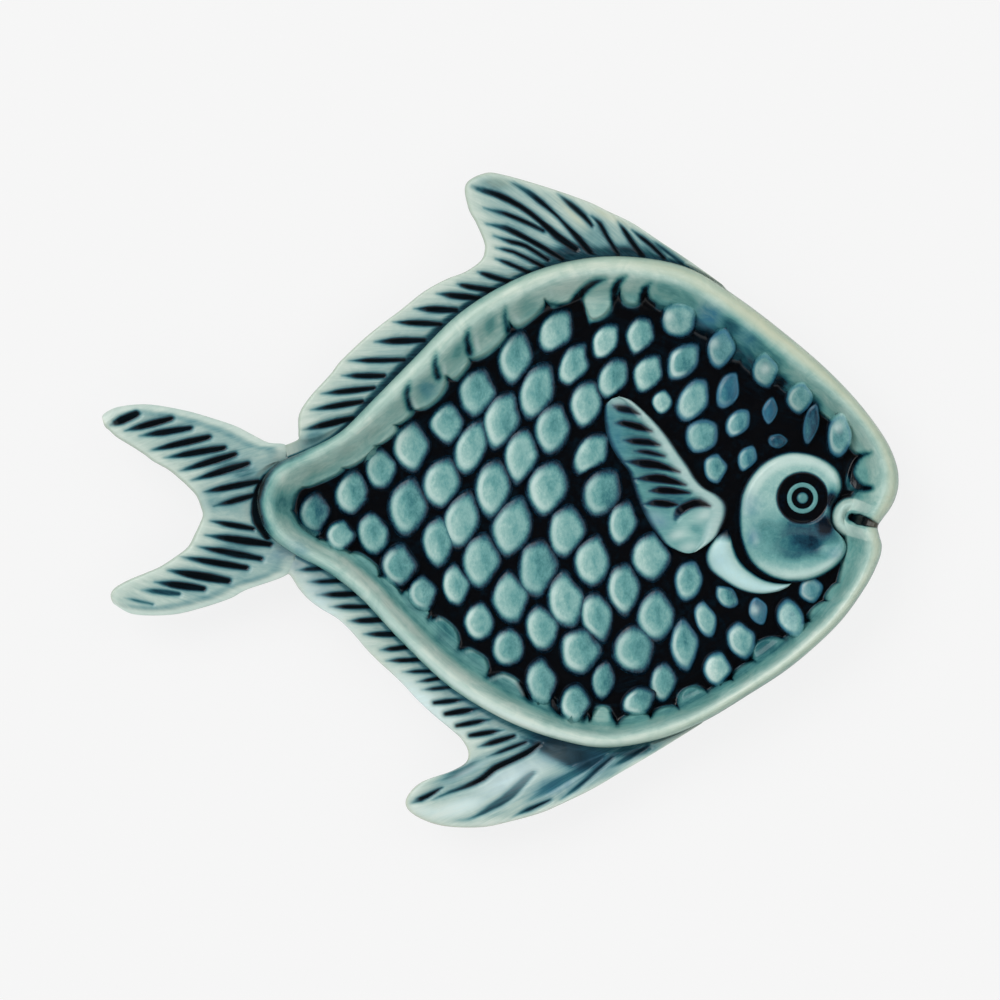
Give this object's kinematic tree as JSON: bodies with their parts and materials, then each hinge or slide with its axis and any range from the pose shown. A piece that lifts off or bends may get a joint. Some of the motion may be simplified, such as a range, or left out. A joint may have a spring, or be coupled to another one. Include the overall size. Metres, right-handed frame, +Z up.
{
  "type": "fish shaped platter",
  "caption": "Fish shaped glazed ceramic platter: a shallow scaled well with a rolled rim, grooved tail and fins, a raised head and a foot ring.",
  "frame": {"origin": "on the table, under the middle of the outline", "axes": "+X from the tail to the snout, +Y towards the dorsal fin, +Z up"},
  "size_m": [0.28, 0.2302, 0.0256],
  "materials": {
    "rim_glaze": "glossy translucent celadon glaze, pale where it is thin and near black where it pools",
    "fin_glaze": "glossy celadon glaze with dark pools in the grooves",
    "relief_glaze": "glossy pale blue glaze with dark pools in the grooves",
    "head_glaze": "glossy teal glaze",
    "scale_glaze": "glossy teal glaze, pale at the edges of the scales",
    "foot_clay": "bare fired clay, matt"
  },
  "bodies": {
    "root": {"dish": "rim_glaze", "foot_ring": "foot_clay", "tail_fin": "fin_glaze", "dorsal_fin": "fin_glaze", "anal_fin": "fin_glaze", "side_fin": "relief_glaze", "cheek": "head_glaze", "gill_cover": "relief_glaze", "eye_ring": "head_glaze", "eye_pupil": "head_glaze", "scales": "scale_glaze"}
  },
  "joints": []
}
